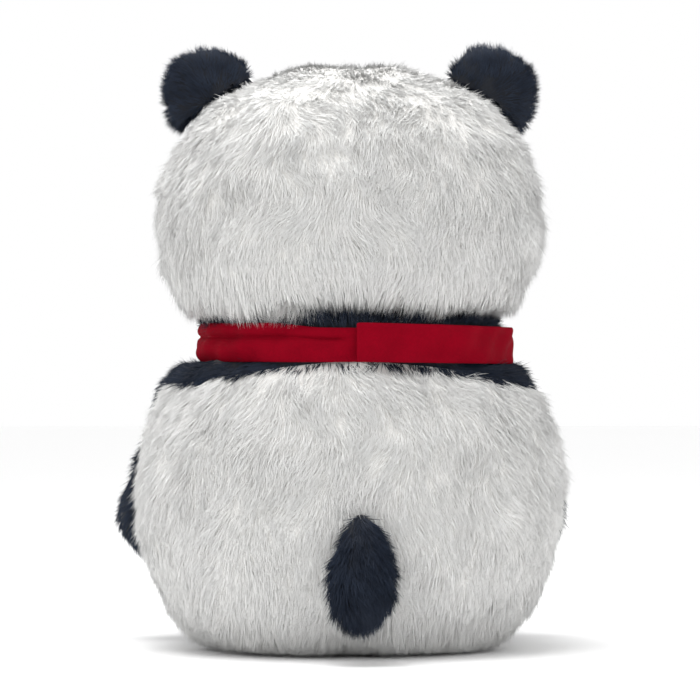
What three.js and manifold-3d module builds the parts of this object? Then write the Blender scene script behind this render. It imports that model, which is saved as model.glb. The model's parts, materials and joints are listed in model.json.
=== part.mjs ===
// Seated plush panda: white head and body, black yoke, limbs, ears and tail, red neck band and bow.
// Millimetres, +Z up, the face looks towards -Y, the base rests on z = 0.
import * as THREE from 'three';
import { mergeVertices } from 'three/addons/utils/BufferGeometryUtils.js';
import Module from 'manifold-3d';

// Fabric and clearances
const plush = 5; // backing and the dense foot of the pile
const seam = 0.4; // gap between two sewn panels
const fillGap = 1; // gap between a cover and its stuffing
const fit = 0.3; // gap between pieces that touch
const stitchHole = 5; // radius of a hand closed stuffing opening

// Body
const bodyWidth = 127; // half sizes
const bodyDepth = 111;
const bodyWaist = 102; // height of the widest level
const bodyRise = 124; // from the waist up to the closed form of the top
const bodyDrop = 113; // from the waist down to the closed form of the bottom
const topFullness = 1.8;
const bottomFullness = 2.6;
const shoulderTop = 170.5;
const baseSeam = 9; // height of the seam round the base panel
const sideSeam = -14; // y of the seam between back and belly
const yokeLevel = 159; // colour change at the sides
const yokeSlope = 0.155; // it runs up towards the back

// Neck
const neckRadius = 86;
const neckTop = 196.4;
const neckPivot = 197.2;
const plugRadius = 34;
const plugRoom = 1.5; // loose fit of the plug in its two sockets
const nodRoom = 7; // degrees kept free under the head

// Head
const headWidth = 116;
const headDepth = 98;
const headHeight = 91;
const headLow = 165; // where the closed form of the head would end
const headCentre = headLow + headHeight;
const headFullness = 2.25;

// Limbs: centre, radius, length along the limb, lean angles
const arm = {
  inset: 37, front: 49, rise: 1, root: 26, tip: 27, reach: 75, flare: 17.7, lean: 15, low: -5, high: 75,
};
const leg = { x: 51, front: 57, z: 34.8, root: 34, tip: 34, reach: 97, splay: 9, high: 18 };
const limbRoom = 1.6; // kept free round a limb in its socket
const sole = { width: 24, height: 27, thick: 3.5 };

// Ears and tail
const ear = { inset: 32, y: -3, below: 15, radius: 27.5, thick: 9, pile: 4, room: 3 };
const tail = { sink: 2, top: 88, width: 18, depth: 10.5, length: 67, pile: 4, tilt: 20 };

// Face
const eye = { x: 38, above: 101, radius: 9, height: 6, shank: 2.5, length: 15, washer: 8, washerThick: 2 };
const patch = { x: 41, above: 99, width: 19, height: 25, lean: 24, thick: 2.6 };
const muzzle = { above: 63, width: 33, depth: 19, height: 23, thick: 3.5 };
const nose = { width: 10, height: 7.5, depth: 5, rise: 6, shank: 2.2, length: 14, washer: 7, washerThick: 2 };
const mouth = { thread: 0.9, width: 13, drop: 10 };

// Neck band and bow
const band = { low: 172, high: 195, thick: 1.6, room: 1.4 };
const strapOver = { room: 0.8, shift: -3, end: -3 };
const strapUnder = { end: -38, front: -4 };
const tape = { thick: 0.8, from: -33, to: -7, inset: 2.5 };
const bow = {
  front: 17, back: 8, z: 177, height: 34, pinch: 17, reach: 46, cloth: 1.6, loopDepth: 15, knot: 8.5, knotDepth: 8.5,
};
const streamer = { x: 2, top: 165, width: 20, length: 46, lean: 24, tilt: 13, notch: 6 };

// Places that follow from the sizes above
arm.x = bodyWidth - arm.inset;
arm.y = arm.front - bodyDepth;
arm.z = band.low + arm.rise - arm.root; // the top of the arm comes up to the band
leg.y = leg.front - bodyDepth;
tail.y = bodyDepth - tail.sink;
ear.x = headWidth - ear.inset;
ear.z = headCentre + headHeight - ear.below;
eye.z = headLow + eye.above; // the face is set out from the low end, so that it clears the neck
patch.z = headLow + patch.above;
muzzle.z = headLow + muzzle.above;
strapOver.radius = neckRadius + band.room + band.thick + 2 * (fit + tape.thick) + strapOver.room;
bow.y = -Math.max(neckRadius + bow.front, bodyDepth - bow.back); // clear of the neck and of the chest
streamer.y = bow.y;

// Colours and finishes
const white = { color: 0xdedcd2, roughness: 0.95, metalness: 0 };
const black = { color: 0x15161c, roughness: 0.95, metalness: 0 };
const red = { color: 0x9c0c22, roughness: 0.85, metalness: 0 };
const darkRed = { color: 0x7c0a1b, roughness: 0.9, metalness: 0 };
const fibre = { color: 0xf2f1ec, roughness: 0.95, metalness: 0 };
const shiny = { color: 0x0b0a0c, roughness: 0.12, metalness: 0 };
const plain = { color: 0xe8e6de, roughness: 0.5, metalness: 0 };
const suede = { color: 0x34343a, roughness: 0.95, metalness: 0 };

const wasm = await Module();
wasm.setup();

const panda = new THREE.Group();
panda.name = 'plush_panda';

const radians = THREE.MathUtils.degToRad;

// ---- solids -------------------------------------------------------------------------------

function toSolid(geometry, placing) {
  const clean = geometry.clone();
  clean.deleteAttribute('normal');
  clean.deleteAttribute('uv');
  if (placing) {
    clean.applyMatrix4(placing);
  }
  const merged = mergeVertices(clean, 1e-4);
  const vertProperties = new Float32Array(merged.attributes.position.array);
  const triVerts = new Uint32Array(merged.index.array);
  return new wasm.Manifold(new wasm.Mesh({ numProp: 3, vertProperties, triVerts }));
}

function addPiece(name, body, finish, parent = panda) {
  const raw = body.getMesh();
  const geometry = new THREE.BufferGeometry();
  geometry.setAttribute('position', new THREE.BufferAttribute(new Float32Array(raw.vertProperties), 3));
  geometry.setIndex(new THREE.BufferAttribute(new Uint32Array(raw.triVerts), 1));
  geometry.computeVertexNormals();
  const mesh = new THREE.Mesh(geometry, new THREE.MeshStandardMaterial(finish));
  mesh.name = name;
  parent.add(mesh);
  return mesh;
}

// Rounded form between an ellipsoid (fullness 2) and a block, poles on Z
function pillow(a, b, c, fullness, around, tall) {
  const geometry = new THREE.SphereGeometry(1, around, tall);
  geometry.rotateX(Math.PI / 2);
  const spots = geometry.attributes.position;
  const spot = new THREE.Vector3();
  for (let i = 0; i < spots.count; i += 1) {
    spot.fromBufferAttribute(spots, i);
    const sum = Math.abs(spot.x) ** fullness + Math.abs(spot.y) ** fullness + Math.abs(spot.z) ** fullness;
    spot.multiplyScalar(sum ** (-1 / fullness));
    spots.setXYZ(i, spot.x * a, spot.y * b, spot.z * c);
  }
  return geometry;
}

// Turned form about Z from [radius, height] pairs that start and end on the axis
function turned(pairs, around) {
  const points = pairs.map(([r, z]) => new THREE.Vector2(r, z));
  const geometry = new THREE.LatheGeometry(points, around);
  geometry.rotateX(Math.PI / 2);
  return geometry;
}

function ball(radius, x, y, z, around = 16, tall = 8) {
  const geometry = new THREE.SphereGeometry(radius, around, tall);
  geometry.rotateX(Math.PI / 2);
  geometry.translate(x, y, z);
  return toSolid(geometry);
}

function place(x, y, z, ax = 0, ay = 0, az = 0) {
  const turn = new THREE.Euler(radians(ax), radians(ay), radians(az), 'ZYX');
  const spot = new THREE.Vector3(x, y, z);
  return new THREE.Matrix4().compose(spot, new THREE.Quaternion().setFromEuler(turn), new THREE.Vector3(1, 1, 1));
}

// Plate with a given outline in X and Z, running along Y from y0 to y1
function plateXZ(outline, y0, y1) {
  const shape = new THREE.Shape(outline.map(([x, z]) => new THREE.Vector2(x, z)));
  const geometry = new THREE.ExtrudeGeometry(shape, { depth: y1 - y0, bevelEnabled: false });
  geometry.rotateX(Math.PI / 2);
  geometry.translate(0, y1, 0);
  return geometry;
}

// Plate with a given outline in X and Y, running up Z from z0 to z1
function plateXY(outline, z0, z1) {
  const shape = new THREE.Shape(outline.map(([x, y]) => new THREE.Vector2(x, y)));
  const geometry = new THREE.ExtrudeGeometry(shape, { depth: z1 - z0, bevelEnabled: false });
  geometry.translate(0, 0, z0);
  return geometry;
}

function oval(width, height, count) {
  const points = [];
  for (let i = 0; i < count; i += 1) {
    const t = (i / count) * 2 * Math.PI;
    points.push([width * Math.cos(t), height * Math.sin(t)]);
  }
  return points;
}

// ---- body ---------------------------------------------------------------------------------

// The closed body form, drawn in by `inset`
function bodyForm(inset, around, tall) {
  const width = bodyWidth - inset;
  const pairs = [[0, inset]];
  const firstAngle = Math.asin(Math.min(1, (bodyWaist - inset) / (bodyDrop - inset * 0.2)));
  for (let i = 0; i <= tall; i += 1) {
    const t = -firstAngle + (i / tall) * (firstAngle + Math.PI / 2);
    const fullness = t < 0 ? bottomFullness : topFullness;
    const height = t < 0 ? bodyDrop - inset * 0.2 : bodyRise - inset;
    const z = bodyWaist + height * Math.sin(t);
    const radius = width * Math.max(0, 1 - Math.abs(Math.sin(t)) ** fullness) ** (1 / fullness);
    pairs.push([i === tall ? 0 : radius, z]);
  }
  const geometry = turned(pairs, around);
  geometry.scale(1, (bodyDepth - inset) / width, 1);
  return toSolid(geometry);
}

function bodyAndNeck(inset, around, tall, top) {
  const torso = bodyForm(inset, around, tall).trimByPlane([0, 0, -1], inset * 0.5 - shoulderTop);
  const radius = neckRadius - inset;
  const low = shoulderTop - 30;
  const neck = turned([[0, low], [radius, low], [radius, top], [0, top]], around);
  return torso.add(toSolid(neck));
}

// Capsule along -Z from its root centre at the origin, its two ends rounded
function limbForm(root, tip, reach, around, rings) {
  const pairs = [];
  for (let i = 0; i <= rings; i += 1) {
    const t = Math.PI / 2 - (i / rings) * (Math.PI / 2);
    pairs.push([i === 0 ? 0 : root * Math.cos(t), root * Math.sin(t)]);
  }
  for (let i = 0; i <= rings; i += 1) {
    const t = (i / rings) * (Math.PI / 2);
    pairs.push([i === rings ? 0 : tip * Math.cos(t), -reach - tip * Math.sin(t)]);
  }
  return turned(pairs.reverse(), around);
}

// Frames of the limbs: local X is the hinge, the limb runs along local -Z when the lean is taken out
function armFrame(side, swing) {
  const flare = place(side * arm.x, arm.y, arm.z, 0, -side * arm.flare, 0);
  return flare.multiply(place(0, 0, 0, -(arm.lean + swing), 0, 0));
}

function legFrame(side, lift) {
  const splay = place(side * leg.x, leg.y, leg.z, 0, 0, side * leg.splay);
  return splay.multiply(place(0, 0, 0, -(90 + lift), 0, 0));
}

// Room needed by the four limbs: each one joined with itself at the given angles
function limbRooms(extra, around, rings, armStops, legStops) {
  const armShape = limbForm(arm.root + extra, arm.tip + extra, arm.reach, around, rings);
  const legShape = limbForm(leg.root + extra, leg.tip + extra, leg.reach, around, rings);
  const rooms = [];
  for (const side of [1, -1]) {
    armStops.forEach((angle) => rooms.push(toSolid(armShape, armFrame(side, angle))));
    legStops.forEach((angle) => rooms.push(toSolid(legShape, legFrame(side, angle))));
  }
  return rooms.reduce((all, room) => all.add(room));
}

const bodyOuter = bodyAndNeck(0, 28, 12, neckTop);
const bodyInner = bodyAndNeck(plush, 24, 10, neckTop + 10);
const coverRooms = limbRooms(limbRoom, 14, 3, [arm.low, 8, 22, 48, arm.high], [0, leg.high / 2, leg.high]);
const fillRooms = limbRooms(limbRoom + 4, 10, 2, [arm.low, arm.high], [0, leg.high]);
const bodyCover = bodyOuter.subtract(bodyInner).subtract(coverRooms);
const bodyStuffed = bodyAndNeck(plush + fillGap, 24, 10, neckTop - fit)
  .subtract(fillRooms)
  .subtract(ball(plugRadius + plugRoom, 0, 0, neckPivot));

// Colour seam as a tilted plane: normal and offset
const yokeNormal = new THREE.Vector3(0, -yokeSlope, 1).normalize();
const yokeOffset = yokeLevel * yokeNormal.z;
const upward = [yokeNormal.x, yokeNormal.y, yokeNormal.z];
const downward = upward.map((n) => -n);
const half = seam / 2;

const yoke = bodyCover.trimByPlane(upward, yokeOffset + half);
const lower = bodyCover.trimByPlane(downward, half - yokeOffset);
addPiece('yoke_back', yoke.trimByPlane([0, 1, 0], half), black);
addPiece('yoke_front', yoke.trimByPlane([0, -1, 0], half), black);
const walls = lower.trimByPlane([0, 0, 1], baseSeam + half);
const back = walls.trimByPlane([0, 1, 0], sideSeam + half);
addPiece('body_back_left', back.trimByPlane([1, 0, 0], half), white);
addPiece('body_back_right', back.trimByPlane([-1, 0, 0], half), white);
addPiece('belly_panel', walls.trimByPlane([0, -1, 0], half - sideSeam), white);
addPiece('base_panel', lower.trimByPlane([0, 0, -1], half - baseSeam), white);
addPiece('body_stuffing', bodyStuffed, fibre);
addPiece('neck_stuffing', ball(plugRadius, 0, 0, neckPivot), fibre);

// ---- head ---------------------------------------------------------------------------------

// Room under the head: a shallow cone that lets it nod above the neck
function underHead(lift, around) {
  const slope = Math.tan(radians(nodRoom));
  const far = 150;
  return toSolid(
    turned(
      [
        [0, 100],
        [far, 100],
        [far, neckPivot + lift + far * slope],
        [0, neckPivot + lift],
      ],
      around,
    ),
  );
}

function headForm(inset, around, tall) {
  const geometry = pillow(headWidth - inset, headDepth - inset, headHeight - inset, headFullness, around, tall);
  geometry.translate(0, 0, headCentre);
  return toSolid(geometry);
}

// Point of the face surface at a given x and z, with the outward normal there
function facePoint(x, z, inset = 0) {
  const [a, b, c] = [headWidth - inset, headDepth - inset, headHeight - inset];
  const u = Math.abs(x) / a;
  const w = Math.abs(z - headCentre) / c;
  const v = (1 - u ** headFullness - w ** headFullness) ** (1 / headFullness);
  const normal = new THREE.Vector3(
    (Math.sign(x) * u ** (headFullness - 1)) / a,
    -(v ** (headFullness - 1)) / b,
    (Math.sign(z - headCentre) * w ** (headFullness - 1)) / c,
  ).normalize();
  return { spot: new THREE.Vector3(x, -v * b, z), normal };
}

// Frame on the face whose local Z points out of the face
function faceFrame(x, z) {
  const { spot, normal } = facePoint(x, z);
  const turn = new THREE.Quaternion().setFromUnitVectors(new THREE.Vector3(0, -1, 0), normal);
  const outward = new THREE.Quaternion().setFromAxisAngle(new THREE.Vector3(1, 0, 0), Math.PI / 2);
  return new THREE.Matrix4().compose(spot, turn.multiply(outward), new THREE.Vector3(1, 1, 1));
}

const headSocket = ball(plugRadius + plugRoom, 0, 0, neckPivot);
const headOuter = headForm(0, 28, 12).subtract(underHead(fit, 28));
const headInner = headForm(plush, 24, 10).subtract(underHead(fit + plush, 24));
let headCover = headOuter.subtract(headInner).subtract(headSocket);
let headFill = headForm(plush + fillGap, 24, 10)
  .subtract(underHead(fit + plush + fillGap + 1, 18))
  .subtract(headSocket);

// Safety fastener: shank through the cover and a lock washer behind it
function shankRoom(frame, piece) {
  const depth = piece.length + 2;
  const shank = new THREE.CylinderGeometry(piece.shank + fit, piece.shank + fit, depth + 10, 10);
  shank.rotateX(Math.PI / 2);
  shank.translate(0, 0, 5 - depth / 2);
  return toSolid(shank, frame);
}

function washerAt(frame, piece, extra) {
  const height = piece.washerThick + 2 * extra;
  const ring = new THREE.CylinderGeometry(piece.washer + extra, piece.washer + extra, height, 14);
  ring.rotateX(Math.PI / 2);
  ring.translate(0, 0, -piece.length + 3 + piece.washerThick / 2);
  return toSolid(ring, frame);
}

function fastener(dome, frame, piece, sink) {
  const shank = new THREE.CylinderGeometry(piece.shank, piece.shank, piece.length + sink, 10);
  shank.rotateX(Math.PI / 2);
  shank.translate(0, 0, (sink - piece.length) / 2);
  return toSolid(dome, frame).add(toSolid(shank, frame));
}

// Dome of an eye or nose, its flat side at height `rise`
function domeForm(width, height, depth, rise) {
  const pairs = [[0, 0]];
  for (let i = 0; i <= 4; i += 1) {
    const t = (i / 4) * (Math.PI / 2);
    pairs.push([i === 4 ? 0 : Math.cos(t), Math.sin(t)]);
  }
  const geometry = turned(pairs, 16);
  geometry.scale(width, height, depth);
  geometry.translate(0, 0, rise);
  return geometry;
}

const patchLevel = fit + patch.thick + fit;
for (const [label, side] of [['left', 1], ['right', -1]]) {
  const frame = faceFrame(side * eye.x, eye.z);
  const body = fastener(domeForm(eye.radius, eye.radius, eye.height, patchLevel + 0.6), frame, eye, patchLevel + 1);
  addPiece(`eye_${label}`, body, shiny);
  const hole = shankRoom(frame, eye);
  addPiece(`eye_washer_${label}`, washerAt(frame, eye, 0).subtract(hole), plain);
  headCover = headCover.subtract(hole);
  headFill = headFill.subtract(hole).subtract(washerAt(frame, eye, 0.5));

  const outline = oval(patch.width, patch.height, 20);
  const cut = plateXZ(outline, -130, -40);
  const lean = place(side * patch.x, 0, patch.z, 0, side * patch.lean, 0);
  const layer = headForm(-fit - patch.thick, 28, 12).subtract(headForm(-fit, 28, 12));
  addPiece(`eye_patch_${label}`, layer.intersect(toSolid(cut, lean)).subtract(hole), black);
}

// Muzzle: a padded dome sewn on the face, with the nose fastened through it
const muzzleFrame = faceFrame(0, muzzle.z);
const muzzleBack = headForm(-fit, 28, 12);
const muzzleForm = (inset) => toSolid(
  pillow(muzzle.width - inset, muzzle.height - inset, muzzle.depth - inset, 2.1, 18, 10),
  muzzleFrame,
);
const noseFrame = muzzleFrame.clone().multiply(place(0, nose.rise + 3, muzzle.depth - 1.6, -14, 0, 0));
const noseHole = shankRoom(noseFrame, nose);
addPiece('muzzle', muzzleForm(0).subtract(muzzleForm(muzzle.thick)).subtract(muzzleBack).subtract(noseHole), white);
const muzzleFill = muzzleForm(muzzle.thick + fit).subtract(muzzleBack).subtract(noseHole);
addPiece('muzzle_stuffing', muzzleFill.subtract(washerAt(noseFrame, nose, 0.5)), fibre);
const noseDome = domeForm(nose.width, nose.height, nose.depth, 0.9);
addPiece('nose', fastener(noseDome, noseFrame, nose, 1), shiny);
addPiece('nose_washer', washerAt(noseFrame, nose, 0).subtract(noseHole), plain);

// Embroidered mouth: one stem and two curved arms lying on the muzzle
function onMuzzle(x, y) {
  const depth = muzzle.depth + mouth.thread + 0.2;
  const u = Math.abs(x) / (muzzle.width + mouth.thread);
  const w = Math.abs(y) / (muzzle.height + mouth.thread);
  return new THREE.Vector3(x, y, depth * (1 - u ** 2.1 - w ** 2.1) ** (1 / 2.1));
}

const stemTop = nose.rise + 3 - nose.height - 1.5;
const stemEnd = stemTop - mouth.drop;
const stem = [0, 0.5, 1].map((t) => onMuzzle(0, stemTop - t * mouth.drop));
const smile = [-1, -0.5, 0, 0.5, 1].map((t) => onMuzzle(t * mouth.width, stemEnd + 4 * t * t));
// Thread laid along points on the muzzle
function thread(points, count) {
  const curve = new THREE.CatmullRomCurve3(points);
  const ring = new THREE.Shape(oval(mouth.thread, mouth.thread, 6).map(([x, y]) => new THREE.Vector2(x, y)));
  const geometry = new THREE.ExtrudeGeometry(ring, { steps: count, bevelEnabled: false, extrudePath: curve });
  return toSolid(geometry, muzzleFrame);
}

addPiece('mouth_stitching', thread(stem, 6).add(thread(smile, 14)), { ...black, roughness: 0.7 });

// Sewn head panels: centre seam and side seams
const faceSide = headCover.trimByPlane([0, -1, 0], half);
const napeSide = headCover.trimByPlane([0, 1, 0], half);
addPiece('face_left', faceSide.trimByPlane([1, 0, 0], half), white);
addPiece('face_right', faceSide.trimByPlane([-1, 0, 0], half), white);
addPiece('head_back_left', napeSide.trimByPlane([1, 0, 0], half), white);
addPiece('head_back_right', napeSide.trimByPlane([-1, 0, 0], half), white);
addPiece('head_stuffing', headFill, fibre);

// ---- ears ---------------------------------------------------------------------------------

for (const [label, side] of [['left', 1], ['right', -1]]) {
  const spot = place(side * ear.x, ear.y, ear.z);
  const earForm = (inset) => toSolid(
    pillow(ear.radius - inset, ear.thick - inset, ear.radius - inset, 2.2, 16, 10),
    spot,
  );
  const cover = earForm(0).subtract(headForm(-ear.room, 28, 12));
  const filling = earForm(ear.pile + 0.4).subtract(headForm(-ear.room - ear.pile * 0.6, 28, 12));
  const opening = earForm(ear.pile).subtract(headForm(ear.pile - ear.room, 28, 12));
  addPiece(`ear_${label}`, cover.subtract(opening), black);
  addPiece(`ear_stuffing_${label}`, filling, fibre);
}

// ---- limbs --------------------------------------------------------------------------------

// Stuffing opening, on the side of the root that faces the body
function opening(radius, side) {
  const hole = new THREE.CylinderGeometry(stitchHole, stitchHole, radius * 2, 10);
  hole.rotateZ(Math.PI / 2);
  hole.translate(-side * radius, 0, 0);
  return hole;
}

for (const [label, side] of [['left', 1], ['right', -1]]) {
  const group = new THREE.Group();
  group.name = `arm_${label}_group`;
  group.applyMatrix4(armFrame(side, 0));
  panda.add(group);
  const shape = (inset, around, rings) => toSolid(limbForm(arm.root - inset, arm.tip - inset, arm.reach, around, rings));
  const cover = shape(0, 16, 4).subtract(shape(plush, 12, 3)).subtract(toSolid(opening(arm.root, side)));
  addPiece(`arm_${label}`, cover, black, group);
  addPiece(`arm_stuffing_${label}`, shape(plush + fillGap, 12, 3), fibre, group);
}

for (const [label, side] of [['left', 1], ['right', -1]]) {
  const group = new THREE.Group();
  group.name = `leg_${label}_group`;
  group.applyMatrix4(legFrame(side, 0));
  panda.add(group);
  const shape = (inset, around, rings) => toSolid(limbForm(leg.root - inset, leg.tip - inset, leg.reach, around, rings))
    .trimByPlane([0, 0, 1], -leg.reach - 14 + inset);
  const rear = new THREE.CylinderGeometry(stitchHole, stitchHole, leg.root * 2, 10);
  rear.rotateX(Math.PI / 2);
  rear.translate(0, 0, leg.root);
  const cover = shape(0, 18, 4).subtract(shape(plush, 14, 3)).subtract(toSolid(rear));
  addPiece(`leg_${label}`, cover, black, group);
  addPiece(`leg_stuffing_${label}`, shape(plush + fillGap, 14, 3), fibre, group);
  const pad = plateXY(oval(sole.width, sole.height, 24), -sole.thick, 0);
  pad.translate(0, 0, -leg.reach - 14 - fit);
  addPiece(`foot_sole_${label}`, toSolid(pad), suede, group);
}

// ---- tail ---------------------------------------------------------------------------------

// Drop with its point up at the origin
function dropForm(inset, around) {
  const pairs = [];
  const count = 8;
  for (let i = 0; i <= count; i += 1) {
    const t = (i / count) * Math.PI;
    const radius = Math.sin(t) * Math.sin(t / 2) ** 0.9;
    const z = -inset * 1.6 - ((tail.length - inset * 2.6) * (1 - Math.cos(t))) / 2;
    pairs.push([i === 0 || i === count ? 0 : radius, z]);
  }
  const geometry = turned(pairs.reverse(), around);
  const widest = 0.785;
  geometry.scale((tail.width - inset) / widest, (tail.depth - inset) / widest, 1);
  return geometry;
}

const tailGroup = new THREE.Group();
tailGroup.name = 'tail_group';
tailGroup.applyMatrix4(place(0, tail.y, tail.top, tail.tilt, 0, 0));
panda.add(tailGroup);
const tailHole = new THREE.CylinderGeometry(3, 3, 30, 10);
tailHole.translate(0, -15, -tail.length * 0.4);
tailGroup.updateMatrixWorld(true);
// the back of the toy, seen from the tail's own frame
const backWall = bodyForm(-fit, 28, 12).transform(tailGroup.matrixWorld.clone().invert().elements);
const tailOuter = toSolid(dropForm(0, 16)).subtract(backWall);
const tailCover = tailOuter.subtract(toSolid(dropForm(tail.pile, 12))).subtract(toSolid(tailHole));
addPiece('tail', tailCover, black, tailGroup);
addPiece('tail_stuffing', toSolid(dropForm(tail.pile + 0.6, 12)).subtract(backWall), fibre, tailGroup);

// ---- neck band and bow --------------------------------------------------------------------

// Ring of cloth about Z, cut to the part where `keep` says so
function hoop(inner, thick, low, high, around = 48) {
  const outline = [[inner, low], [inner + thick, low], [inner + thick, high], [inner, high], [inner, low]];
  return toSolid(turned(outline, around));
}

const bandInner = neckRadius + band.room;
const underHoop = hoop(bandInner, band.thick, band.low, band.high);
// The under strap: the left half, and at the back a length lying under the other strap
const underFront = underHoop.trimByPlane([0, -1, 0], 0).trimByPlane([1, 0, 0], strapUnder.front);
const underBack = underHoop.trimByPlane([0, 1, 0], 0).trimByPlane([1, 0, 0], strapUnder.end);
addPiece('neckband_under', underFront.add(underBack), red);

const overHoop = hoop(strapOver.radius, band.thick, band.low, band.high).translate([strapOver.shift, 0, 0]);
addPiece('neckband_over', overHoop.trimByPlane([-1, 0, 0], -strapOver.end), red);

for (const [name, gap] of [['fastener_loop', fit], ['fastener_hook', 2 * fit + tape.thick]]) {
  const ring = hoop(bandInner + band.thick + gap, tape.thick, band.low + tape.inset, band.high - tape.inset);
  const strip = ring.trimByPlane([0, 1, 0], 0).trimByPlane([1, 0, 0], tape.from).trimByPlane([-1, 0, 0], -tape.to);
  addPiece(name, strip, darkRed);
}

// Bow loops: ribbon folded back on itself, seen from above as a drop
function loopOutline(inset) {
  const points = [];
  const count = 20;
  const start = bow.knot + fit;
  for (let i = 0; i < count; i += 1) {
    const t = (i / count) * 2 * Math.PI;
    const x = start + inset + ((bow.reach - start - 2 * inset) * (1 - Math.cos(t))) / 2;
    const y = ((bow.loopDepth - 2 * inset) / 2) * Math.sin(t) * (0.55 + 0.45 * Math.sin(t / 2));
    points.push([x, y]);
  }
  return points;
}

const bowSpot = place(0, bow.y, bow.z);
const bowSlope = (bow.height - bow.pinch) / 2 / (bow.reach - bow.knot);
for (const [label, side] of [['left', 1], ['right', -1]]) {
  const outer = plateXY(loopOutline(0), -bow.height / 2, bow.height / 2);
  const inner = plateXY(loopOutline(bow.cloth), -bow.height, bow.height);
  const frame = bowSpot.clone().multiply(place(0, 0, 0, 0, 0, side > 0 ? 0 : 180));
  let loop = toSolid(outer, frame).subtract(toSolid(inner, frame));
  // gathered towards the knot
  for (const up of [1, -1]) {
    const normal = new THREE.Vector3(side * bowSlope, 0, -up).normalize();
    const corner = new THREE.Vector3(side * bow.knot, 0, bow.z + (up * bow.pinch) / 2);
    loop = loop.trimByPlane([normal.x, normal.y, normal.z], normal.dot(corner));
  }
  addPiece(`bow_loop_${label}`, loop, red);
}
addPiece('bow_knot', toSolid(pillow(bow.knot, bow.knotDepth, bow.pinch / 2 + 2, 2.6, 14, 8), bowSpot), red);

// Streamers: two ribbon ends hanging under the knot, cut to a notch
for (const [label, side] of [['left', 1], ['right', -1]]) {
  const edge = streamer.width / 2;
  const foot = -streamer.length;
  const outline = [[-edge, 0], [-edge, foot], [0, foot + streamer.notch], [edge, foot], [edge, 0]];
  const frame = place(side * (streamer.x + edge), streamer.y, streamer.top)
    .multiply(place(0, 0, 0, -streamer.tilt, 0, 0))
    .multiply(place(0, 0, 0, 0, -side * streamer.lean, 0));
  addPiece(`bow_streamer_${label}`, toSolid(plateXZ(outline, 0, bow.cloth), frame), red);
}

panda.updateMatrixWorld(true);

export default panda;
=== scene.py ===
import json
import math
import bpy
import numpy as np
from mathutils import Matrix, Vector
from mathutils.kdtree import KDTree


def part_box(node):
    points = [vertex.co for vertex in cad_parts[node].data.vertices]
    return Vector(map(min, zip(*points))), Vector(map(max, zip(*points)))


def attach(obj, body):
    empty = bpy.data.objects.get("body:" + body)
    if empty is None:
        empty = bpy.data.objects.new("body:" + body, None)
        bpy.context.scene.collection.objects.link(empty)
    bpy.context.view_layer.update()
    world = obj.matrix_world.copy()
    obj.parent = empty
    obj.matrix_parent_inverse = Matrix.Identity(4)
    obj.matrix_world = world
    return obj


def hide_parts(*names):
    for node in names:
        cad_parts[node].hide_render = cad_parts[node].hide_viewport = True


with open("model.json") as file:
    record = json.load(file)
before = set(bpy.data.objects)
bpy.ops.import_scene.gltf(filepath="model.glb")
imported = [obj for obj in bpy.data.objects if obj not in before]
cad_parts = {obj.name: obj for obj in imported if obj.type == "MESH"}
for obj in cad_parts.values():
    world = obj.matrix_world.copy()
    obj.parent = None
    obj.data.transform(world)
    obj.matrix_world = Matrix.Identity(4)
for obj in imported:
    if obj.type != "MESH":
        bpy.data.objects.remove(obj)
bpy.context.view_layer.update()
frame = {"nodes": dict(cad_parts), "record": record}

sides = (("left", 1), ("right", -1))
pivots = {joint["name"]: Vector(joint["pos_m"]) for joint in frame["record"]["behaviour"]["joints"]}


class Wire:  # one output of a node; a sum on it adds a Math node
    def __init__(self, tree, socket=None):
        self.tree = tree
        self.socket = socket

    def node(self, kind, settings=None, inputs=None, output=0):
        made = self.tree.nodes.new(kind)
        for key, value in (settings or {}).items():
            setattr(made, key, value)
        for key, value in (inputs or {}).items():
            if isinstance(value, Wire):
                self.tree.links.new(value.socket, made.inputs[key])
            else:
                made.inputs[key].default_value = value
        return Wire(self.tree, made.outputs[output])

    def maths(self, operation, *values):
        return self.node("ShaderNodeMath", {"operation": operation}, dict(enumerate(values)))

    def __add__(self, other):
        return self.maths("ADD", self, other)

    def __radd__(self, other):
        return self.maths("ADD", other, self)

    def __sub__(self, other):
        return self.maths("SUBTRACT", self, other)

    def __rsub__(self, other):
        return self.maths("SUBTRACT", other, self)

    def __mul__(self, other):
        return self.maths("MULTIPLY", self, other)

    def __rmul__(self, other):
        return self.maths("MULTIPLY", other, self)

    def __pow__(self, other):
        return self.maths("POWER", self, other)

    def __rpow__(self, other):
        return self.maths("POWER", other, self)

    def sine(self):
        return self.maths("SINE", self)

    def mixed(self, dark, light):  # a colour between two, by this number
        return self.node("ShaderNodeMix", {"data_type": "RGBA"}, {0: self, 6: dark, 7: light}, 2)

    def limited(self):
        return self.node("ShaderNodeClamp", inputs={"Value": self})

    def noise(self, scale, detail=2.0, stretch=(1, 1, 1)):
        where = self.node("ShaderNodeTexCoord", output=3)
        where = self.node("ShaderNodeMapping", inputs={"Vector": where, "Scale": stretch})
        return self.node("ShaderNodeTexNoise", inputs={"Vector": where, "Scale": scale, "Detail": detail})

    def attribute(self, name):
        return self.node("ShaderNodeAttribute", {"attribute_name": name}, output=2)

    def bump(self, height, strength, distance):
        inputs = {"Height": height, "Strength": strength, "Distance": distance}
        return self.node("ShaderNodeBump", inputs=inputs)


def rgba(colour):
    return (*colour, 1)


def newMaterial(name, constants, wires=None):
    material = bpy.data.materials.new(name)
    material.use_nodes = True
    tree = material.node_tree
    shader = tree.nodes["Principled BSDF"]
    for key, value in constants.items():
        shader.inputs[key].default_value = value
    if wires:
        for key, wire in wires(Wire(tree)).items():
            tree.links.new(wire.socket, shader.inputs[key])
    return material


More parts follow.
